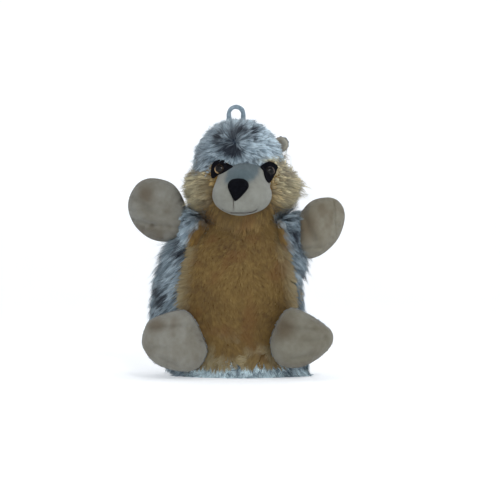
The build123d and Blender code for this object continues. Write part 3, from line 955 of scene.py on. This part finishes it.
for seed, side in enumerate(SIDES):
    centre, outline = FEET[side]
    folds = FOOT_FOLDS[side]
    body = f"foot_{side}"
    points, faces = pillow_half(centre, outline, SOLE_THICK, -1, 230 + seed, folds=folds, stuffed=True)
    sole = mesh_object(f"foot_{side}_sole_cover", points, faces, velour, body, "beige_velour")
    paint(sole, FOOT_TINT[side] * velour_colours(points, 240 + seed, FOOT_DENT_SHADE[side], folds))
    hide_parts(f"foot_{side}_sole", f"foot_{side}_stuffing")
    seam = outline_tube(centre, outline, seed + 5)
    mesh_object(f"foot_{side}_seam", *seam, seam_material, body, "beige_velour")
    points, faces = pillow_half(centre, outline, UPPER_THICK, 1, 250 + seed)
    points = before_body(points, centre[1] + 0.5)
    upper = mesh_object(f"foot_{side}_upper_backing", points, faces, skin_material, body, "blue_grey_fur")
    paint(upper, grey_colours(points, 6)[0])
    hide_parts(f"foot_{side}_upper")
    roots, normals = scatter(points, quads_only(faces), 1.6, 151 + seed)
    normals = normals * np.sign(normals[:, 1] + 1e-6)[:, None]
    comb = unit((roots - centre) * np.array((1, 0, 1))) + np.array((0, 0.7, -0.35))
    colours = grey_colours(roots, 153)
    pile(
        f"foot_{side}_pile", roots, normals, comb, 5.0, 0.4, colours,
        body, "blue_grey_fur", 154 + seed, clump=8, floor=0.4,
    )

# ---------------------------------------------------------------- head
FINGER_RADIUS = 12.1  # the hole for a finger, up to FINGER_TOP
FINGER_TOP = 234.3
head_points = HEAD + BALL_FINE[0] * star(HEAD, HEAD_LOBES, BALL_FINE[0])[:, None]
head = mesh_object("head_backing", head_points, BALL_FINE[1], skin_material, None, "blue_grey_fur")
carve(head, cutter_ball(NECK, NECK_HOLE), cutter_tube(NECK, FINGER_RADIUS, 150, FINGER_TOP))


def face_share(points):
    """1 on the tan cheeks and throat, 0 on the grey crown and back, with an uneven edge."""
    x, y, z = points.T
    top = 202 - 9 * smooth(19, 13, np.abs(x - 8)) - 9 * smooth(-18, -30, x) + 4 * smooth(36, 44, x)
    side = np.where(x < 0, 0, 7) + 3 * noise(points, 12, 82)
    return smooth(5, -5, z - top - 2.5 * noise(points, 7, 81)) * smooth(4, -4, y - side)


at = places(head)
paint(head, blend(grey_colours(at, 4)[0], tan_colours(at, 4)[0], face_share(at)[:, None]))
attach(head, "head")
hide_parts("head_stuffing")

EYES = {"left": (-17.0, 195.4), "right": (29.8, 193.4)}  # x and z of their middles


def outside(centre, lobes, points, soft):
    """How far points lie outside (positive) or inside (negative) the joined lobes, along rays from centre."""
    away = points - centre
    distance = np.linalg.norm(away, axis=1)
    return distance - star(centre, lobes, away / distance[:, None], soft)


def off_muzzle(points):
    return outside(MUZZLE, MUZZLE_LOBES, points, MUZZLE_BLEND)


def furry(points):
    """True for places on the head that neither the muzzle nor the neck covers."""
    return (off_muzzle(points) > -0.5) & (np.linalg.norm(points - NECK, axis=1) > NECK_RADIUS + 1)


def off_eyes(points):
    """How far points are from the nearer eye's middle, seen from the front."""
    x, y, z = points.T
    return np.min([np.hypot(x - eye_x, z - eye_z) + 99 * (y > 0) for eye_x, eye_z in EYES.values()], axis=0)


def face_y(x, z):
    """The y of the front of the face at x and z: the muzzle or the head, whichever is further forward."""
    x, z = np.broadcast_arrays(np.asarray(x, float), np.asarray(z, float))
    low, high = np.full(x.shape, -90.0), np.full(x.shape, 0.0)
    for _ in range(26):
        y = (low + high) / 2
        p = np.stack([x, y, z], -1).reshape(-1, 3)
        depth = np.minimum(outside(HEAD, HEAD_LOBES, p, HEAD_BLEND), off_muzzle(p)).reshape(x.shape)
        high, low = np.where(depth < 0, y, high), np.where(depth < 0, low, y)
    return (low + high) / 2


# Head fur: the crown spreads from one spot, the cheeks spread from the nose, and both shorten near the face
roots, normals = scatter(head_points, BALL_FINE[1], density(2.3), 161, furry)
x, y, z = roots.T
is_face = np.random.default_rng(162).random(len(roots)) < face_share(roots)
away = roots - np.array((-5.0, -30.0, 222.0))
ruffle = 0.45 + 0.5 * np.exp(-((np.linalg.norm(away, axis=1, keepdims=True) / 14) ** 2))
crown_comb = unit(away) + ruffle * noise_vectors(roots, 8, 83) + 0.25 * DOWN * (y[:, None] > 0)
from_nose = roots - np.array((3.0, -42.0, 182.0))
cheek_comb = unit(from_nose * np.array((1.0, 0.25, 0.8))) + 0.12 * DOWN + 0.22 * noise_vectors(roots, 14, 86)
cheek_pale = 0.1 + 0.8 * smooth(20, 38, np.abs(x - 3))
flank = smooth(0.3, 0.9, np.abs(normals[:, 0])) * smooth(168, 182, z)
# Fur on the right of the face is painted lighter, as if lit from the right: painted light.
painted_sidelight = smooth(-25, 35, x)[:, None]
brow = (np.exp(-(((x - 27) / 8) ** 2) - ((z - 206) / 3) ** 2) * (y < 0))[:, None]
# Crown tips just above the bridge, between the eyes, are painted darker: painted shade.
between = (np.exp(-(((x - 7) / 10) ** 2) - ((z - 205) / 7) ** 2) * (y < 0))[:, None]
nape = smooth(185, 163, z) * smooth(4, 16, y)
trim = (0.22 + 0.78 * smooth(8.0, 19.0, off_eyes(roots))) * (0.45 + 0.55 * smooth(1, 11, off_muzzle(roots)))


def crown_tint(pick):
    root, tip = grey_colours(roots[pick], 163)
    # between darkens the tips above the bridge: painted shade. brow paints a cream eyebrow.
    tip = blend(tip * (1 - 0.4 * between[pick]), CREAM, brow[pick])
    # Front crown tips lighter towards the right: painted light.
    return root, tip * (0.95 + 0.65 * painted_sidelight[pick] * (y[pick, None] < 8))


def cheek_tint(pick):
    root, tip = tan_colours(roots[pick], 163, cheek_pale[pick], 0.5)
    vary = np.random.default_rng(165).lognormal(0, 0.42, (len(root), 1))
    # Cheek tips lighter towards the right: painted light.
    return root * 0.52, tip * vary * (0.97 + 0.29 * painted_sidelight[pick])


CROWN_FUR = (crown_tint, crown_comb, "blue_grey_fur", {"clump": 6, "cling": 0.7, "uneven": 0.3})
CHEEK_FUR = (cheek_tint, cheek_comb, "cheek_fur", {"clump": 9, "cling": 0.82, "uneven": 0.34})
for name, node, fur, pick, length, lift in (
    ("crown", "forehead_fur", CROWN_FUR, ~is_face & (y < 8), 11.5, 0.54),
    ("head_back", "head_back_fur", CROWN_FUR, ~is_face & (y >= 8), 12.0 + 9.0 * nape, 0.55),
    ("cheek_left", "cheek_left_fur", CHEEK_FUR, is_face & (x < 3), 20.0 - 3.0 * flank, 0.44 + 0.06 * flank),
    ("cheek_right", "cheek_right_fur", CHEEK_FUR, is_face & (x >= 3), 22.0, 0.44 + 0.34 * flank),
):
    tint, comb, slot_name, tufts = fur
    length, lift = (length * trim)[pick], (lift * (0.6 + 0.4 * trim))[pick]
    obj = pile(
        f"{name}_pile", roots[pick], normals[pick], comb[pick], length, lift, tint(pick),
        "head", slot_name, 164, width=0.5, **tufts,
    )
    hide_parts(node)

# Muzzle: velour mask with whisker pads, centre seam, mouth and lip
PHILTRUM_X, MOUTH_X = -3.8, 2.0
BRIDGE_BLUE, MASK_LIGHT, MASK_LOW = srgb(77, 89, 93), srgb(130, 131, 124), srgb(112, 112, 104)
# Brown of the painted shade in the mouth and centre-seam grooves.
GROOVE_SHADE_BROWN = srgb(62, 54, 46)


def mouth_height(x):
    """Height of the mouth line at x."""
    return 154.0 + 5.0 * ((x - MOUTH_X) / 18) ** 4


points = MUZZLE + BALL_FINE[0] * star(MUZZLE, MUZZLE_LOBES, BALL_FINE[0], MUZZLE_BLEND)[:, None]
x, y, z = points.T
front, beside, above = y < -30, np.abs(x - MOUTH_X), z - mouth_height(x)
philtrum = np.exp(-(((x - PHILTRUM_X) / 0.7) ** 2)) * smooth(154.5, 157, z) * smooth(170, 166, z)
mouth = np.exp(-((above / 0.7) ** 2)) * smooth(19, 15, beside)
lip = np.exp(-(((above - 2.6) / 2.2) ** 2)) * smooth(20, 10, beside)
dip = front * (0.7 * philtrum + 0.9 * mouth - 0.6 * lip)
# The mouth and centre-seam grooves are painted brown: painted shade in the grooves.
line = 0.4 * front * np.maximum(mouth, philtrum)
points = points - BALL_FINE[0] * (dip - 0.45 * fractal(points, 12, 91, 2))[:, None]
tone = np.clip(0.55 + 0.25 * fractal(points, 9, 92) + 0.2 * fractal(points, 2.4, 93), 0, 1)[:, None]
waver = 2 * noise(points, 8, 94)
past_edge = x + waver - (14 + 0.7 * (z - 185))
blue = smooth(177, 186, z + waver) * smooth(-14, -8, x + waver) * smooth(4, -3, past_edge)
colour = blend(blend(MASK_LOW, MASK_LIGHT, tone), BRIDGE_BLUE * (0.85 + 0.3 * tone), blue[:, None])
muzzle = mesh_object("muzzle_cover", points, BALL_FINE[1], velour, "head", "beige_velour")
paint(muzzle, blend(colour, GROOVE_SHADE_BROWN, line[:, None]))
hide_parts("muzzle_skin")

# Mouth: sewn thread along the centre seam and the mouth line
thread_material = material(
    "dark_thread", srgb(52, 44, 38), rough=0.8, bumps=((3000, 0.6),), mottle=(srgb(70, 62, 54), 900, 0.4, 0.6)
)
mouth_line = np.linspace(MOUTH_X - 16, MOUTH_X + 16, 40)
stitches, stitch_faces = [], []
for xs, zs in (
    (np.full(12, PHILTRUM_X), np.linspace(166, 156.5, 12)),
    (mouth_line, mouth_height(mouth_line) - 0.2),
):
    wave = 1 + 0.3 * np.cos(np.arange(len(xs)) * np.pi)
    points, faces = tube_around(np.stack([xs, face_y(xs, zs) + 0.45, zs], 1), 0.26 * wave)
    stitch_faces += [tuple(i + sum(map(len, stitches)) for i in f) for f in faces]
    stitches.append(points)
stitches = np.concatenate(stitches)
thread = mesh_object("mouth_thread", stitches, stitch_faces, thread_material, "head", "dark_thread")
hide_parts("mouth_stitch")

# Nose: a rounded drop, point down
NOSE = np.array((0.6, 178.0))


def drop(turn):
    """The nose's outline round its middle, as x and z for angles from the right."""
    lower, upper = np.clip(-np.sin(turn), 0, 1), np.clip(np.sin(turn), 0, 1)
    x = 9.7 * np.sign(np.cos(turn)) * np.abs(np.cos(turn)) ** 0.85 * (1 - 0.62 * lower**1.3)
    return np.stack([x - 2.8 * lower**1.6, 7.6 * upper**0.8 - 13.4 * lower**1.05], 1)


shape = drop(around(96))
base = face_y(*(NOSE + shape * 0.9).T)
rows = []
for r in np.sin(np.linspace(0.03, np.pi / 2, 22)):
    x, z = (NOSE + shape * r).T
    rows.append(np.stack([x, blend(face_y(*NOSE), base, r) - 6.2 * (1 - r**2.4) ** 0.5, z], 1))
x, z = (NOSE + shape * 0.96).T
rows.append(np.stack([x, rows[-1][:, 1] + 2.6, z], 1))
nose_material = material(
    "nose_flock",
    srgb(6, 7, 11),
    rough=0.65,
    specular=0.03,
    bumps=((2200, 0.35), (260, 0.2)),
    mottle=(srgb(10, 11, 16), 300, 0.35, 0.65),
)
drop_shape = capped(rows, rows[0].mean(0), rows[-1].mean(0) + (0, 3, 0))
nose = mesh_object("nose_drop", *drop_shape, nose_material, "head", "nose_plastic")
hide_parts("nose")

# Eyes: glossy domes on black felt. Each iris is painted lit as a crescent on one side and left nearly black
# elsewhere: painted light.
PATCHES = {
    "left": (
        (-4.6, 197.6), (-9.5, 200.6), (-14.7, 204.2), (-20.5, 203.8), (-24.4, 200.0),
        (-25.4, 193.8), (-24.8, 187.8), (-22.2, 187.0), (-18.6, 189.8), (-13.5, 191.6), (-8.5, 194.4),
    ),
    "right": (
        (21.0, 197.5), (24.6, 200.9), (30.4, 203.2), (35.2, 201.6), (38.4, 198.2), (36.8, 195.0),
        (35.4, 191), (32.4, 186.0), (29.3, 182.2), (26.4, 184.7), (24.6, 189.5), (23.6, 193.8),
    ),
}
EYE_OUT = {"left": unit(np.array((-0.30, -0.94, 0.10))), "right": unit(np.array((0.38, -0.92, 0.08)))}
EYE_RADIUS, EYE_HEIGHT = 5.0, 3.6
EYE_BACK = ((0.98, -0.35), (0.6, -0.5), (0.3, -0.5), (0.28, -2.0))  # shares of radius and height
LIT_CRESCENT = {"left": math.radians(212), "right": math.radians(10)}
LIT_IRIS = {"left": srgb(178, 148, 108), "right": srgb(92, 78, 68)}
PUPIL = srgb(9, 7, 7)
felt = material(
    "black_felt",
    srgb(11, 11, 14),
    rough=0.95,
    specular=0.03,
    bumps=((1600, 0.7), (500, 0.4)),
    mottle=(srgb(20, 20, 25), 700, 0.4, 0.62),
)
eye_material = material("eye_plastic", srgb(30, 16, 8), rough=0.05, painted=True, specular=0.16)
for side in SIDES:
    middle = np.array(EYES[side])
    rows, backs = [], []
    for r in np.linspace(1, 0.03, 14):
        x, z = blend(middle, through(PATCHES[side], 72), r).T
        top = face_y(x, z) - 1.7
        rows.append(np.stack([x, top + 1.2 * smooth(0.9, 1.0, r), z], 1))
        backs.append(np.stack([x, top + 2.6, z], 1))
    shell = closed_shell(np.concatenate(rows), np.concatenate(backs), 14, 72, True)
    patch = mesh_object(f"eye_patch_{side}_felt", *shell, felt, "head", "black_felt")
    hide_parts(f"eye_patch_{side}")

    out = EYE_OUT[side]
    seat = np.array((middle[0], float(face_y(*middle)) - 0.6, middle[1]))
    across = unit(np.cross((0, 0, 1.0), out))
    turn = around(64)[:, None]
    rim = np.cos(turn) * across + np.sin(turn) * np.cross(out, across)
    # The iris shows only on its lit side, fading to black elsewhere: painted light.
    lit = 0.04 + 0.96 * smooth(0.45, 0.98, np.cos(turn - LIT_CRESCENT[side]))
    dome = [(math.sin(t), math.cos(t)) for t in np.linspace(0.02, math.pi / 2, 26)]
    rows, tints = [], []
    for r, height in (*dome, *EYE_BACK):
        rows.append(seat + EYE_RADIUS * r * rim + EYE_HEIGHT * height * out)
        tints.append(PUPIL + LIT_IRIS[side] * smooth(0.66, 0.76, r) * smooth(0.97, 0.91, r) * lit)
    eyeball = capped(rows, rows[0].mean(0), rows[-1].mean(0))
    eye = mesh_object(f"eye_{side}_dome", *eyeball, eye_material, "head", "eye_plastic")
    paint(eye, np.concatenate([*tints, [PUPIL, PUPIL]]))
    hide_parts(f"eye_{side}")

# Ears: beige velour in front, fur behind
EARS = {"left": np.array((-29.0, 17, 222)), "right": np.array((41.0, 9, 221.4))}
EAR_RADIUS, EAR_THICK = 7.4, 7.0
for seed, side in enumerate(SIDES):
    centre = EARS[side]
    corners = [centre[[0, 2]] + EAR_RADIUS * np.array((math.cos(t), math.sin(t))) for t in around(8)]
    for half, face, mat, slot_name in (
        ("front", -1, velour, "beige_velour"),
        ("back", 1, skin_material, "blue_grey_fur"),
    ):
        points, faces = pillow_half(centre, corners, EAR_THICK, face, 260 + seed, columns=48, rings=16)
        middle = 1 - smooth(0.2, 0.85, np.linalg.norm((points - centre)[:, [0, 2]], axis=1) / EAR_RADIUS)
        if face < 0:
            points[:, 1] += 1.6 * middle * (points[:, 1] < centre[1] - 0.5)
            # The hollow middle of the ear's front is painted darker: painted shade.
            tint = velour_colours(points, 262 + seed) * 1.45 * (1 - 0.35 * middle)[:, None]
        else:
            tint = grey_colours(points, 7)[0]
        ear = mesh_object(f"ear_{side}_{half}_cover", points, faces, mat, "head", slot_name)
        paint(ear, tint)
        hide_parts(f"ear_{side}_{half}")
    at, out = scatter(points, quads_only(faces), 1.8, 171 + seed)
    out = out * np.sign(out[:, 1] + 1e-6)[:, None]
    comb = unit((at - centre) * np.array((1, 0, 1))) + np.array((0, 0.2, 0))
    colours = grey_colours(at, 172)
    pile(
        f"ear_{side}_pile", at, out, comb, 1.6, 0.4, colours,
        "head", "blue_grey_fur", 173, width=0.5, clump=6,
    )

# Hanging loop: a twisted tape sewn into the crown, as two legs and a half turn
LOOP = np.array((-2.0, 2.0, 241.6))  # the middle between the legs where they leave the crown
LOOP_LEG, LOOP_RADIUS = 8.4, 6.9
rise = np.linspace(0, 1, 90)
run = rise * (2 * LOOP_LEG + math.pi * LOOP_RADIUS) - LOOP_LEG
bend = np.clip(run / LOOP_RADIUS, 0, math.pi)
drop_down = np.minimum(run, 0) - np.maximum(run - math.pi * LOOP_RADIUS, 0)
height = LOOP_LEG + LOOP_RADIUS * np.sin(bend) + drop_down
line = LOOP + np.stack([-LOOP_RADIUS * np.cos(bend), np.zeros(90), height], 1)
broad = 2.2 + 0.4 * smooth(0.25, 0.0, rise) + 0.5 * smooth(0.7, 1.0, rise) + 0.1 * np.sin(rise * 40)
tape = tube_around(line, broad, sides=20, flat=0.45, twist=0.5 * np.sin(rise * 5))
tape_material = material(
    "loop_tape",
    srgb(128, 143, 152),
    sheen=0.3,
    mottle=(srgb(100, 118, 130), 500, 0.38, 0.62),
    bumps=((1400, 0.6), (300, 0.3)),
)
loop = mesh_object("hanging_loop_tape", *tape, tape_material, "loop", "loop_tape")
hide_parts("hang_loop")

# Kept CAD pieces: finger pocket, lock washers and the blank label
washer_material = material(
    "washer_plastic", srgb(205, 204, 198), rough=0.45, mottle=(srgb(190, 189, 182), 200, 0.4, 0.6)
)
label_material = material(
    "label_tape",
    srgb(200, 200, 194),
    rough=0.6,
    sheen=0.3,
    mottle=(srgb(186, 186, 180), 150, 0.4, 0.6),
    bumps=((2600, 0.4),),
)
for node, mat in (
    ("finger_pocket", lining_material),
    ("eye_washer_left", washer_material),
    ("eye_washer_right", washer_material),
    ("care_label", label_material),
):
    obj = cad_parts[node]
    obj.data.materials.clear()
    obj.data.materials.append(mat)

# ---------------------------------------------------------------- studio
FLOOR, WALL = 1800.0, 1000.0  # radius of the flat floor and of the curve that turns it into the wall
sweep = [(r, 0.0) for r in np.linspace(20, FLOOR, 24)]
sweep += [(FLOOR + WALL * math.sin(t), WALL - WALL * math.cos(t)) for t in np.linspace(0.06, math.pi / 2, 26)]
sweep += [(FLOOR + WALL, z) for z in np.linspace(WALL + 100, 2600, 8)]
points = [(0, 0, 0)] + [(r * math.cos(a), r * math.sin(a), z) for r, z in sweep for a in around(96)]
faces = (grid_faces(len(sweep), 96) + 1).tolist() + [(0, 1 + k, 1 + (k + 1) % 96) for k in range(96)]
paper = material(
    "studio_paper", (0.80, 0.81, 0.82), rough=0.95, specular=0.03, mottle=((0.78, 0.79, 0.80), 3, 0.3, 0.7)
)
glow = paper.node_tree.nodes["Principled BSDF"].inputs
glow["Emission Color"].default_value = (0.95, 0.97, 1.0, 1)
glow["Emission Strength"].default_value = 0.36
mesh_object("studio_backdrop", points, faces, paper, None, None)


def lamp(name, place, target, size, power, colour=(1, 1, 1)):
    light = bpy.data.lights.new(name, "AREA")
    light.shape, light.size, light.energy, light.color = "DISK", size, power, colour
    obj = in_scene(bpy.data.objects.new(name, light))
    obj.location = place
    obj.rotation_euler = (Vector(target) - Vector(place)).to_track_quat("-Z", "Y").to_euler()


SKY = (0.93, 0.96, 1.0)
lamp("key", (0.75, -1.5, 1.15), (0, 0, 0.12), 0.9, 4.6, (1.0, 0.99, 0.97))
lamp("fill", (-0.1, -1.8, 0.2), (0, 0, 0.12), 1.3, 3.3, SKY)
lamp("top", (0.1, 0.2, 1.7), (0, 0, 0.1), 1.2, 4.0)
lamp("spark", (0.28, -1.25, 0.85), (0, 0, 0.17), 0.12, 4.2)
world = bpy.data.worlds.new("studio")
world.use_nodes = True
world.node_tree.nodes["Background"].inputs["Color"].default_value = (*SKY, 1)
world.node_tree.nodes["Background"].inputs["Strength"].default_value = 0.5
bpy.context.scene.world = world
bpy.context.scene.view_settings.view_transform = "Standard"

LENS, SENSOR, VIEW_WIDTH = 100, 36, 0.475  # mm, mm, and the picture's width in metres at the object
AIM = Vector((0.0114, -0.01, 0.1197))
lens = bpy.data.cameras.new("camera")
lens.lens, lens.sensor_width = LENS, SENSOR
camera = in_scene(bpy.data.objects.new("camera", lens))
camera.location = AIM - Vector((0, VIEW_WIDTH * LENS / SENSOR, 0))
camera.rotation_euler = (math.pi / 2, 0, 0)
bpy.context.scene.camera = camera
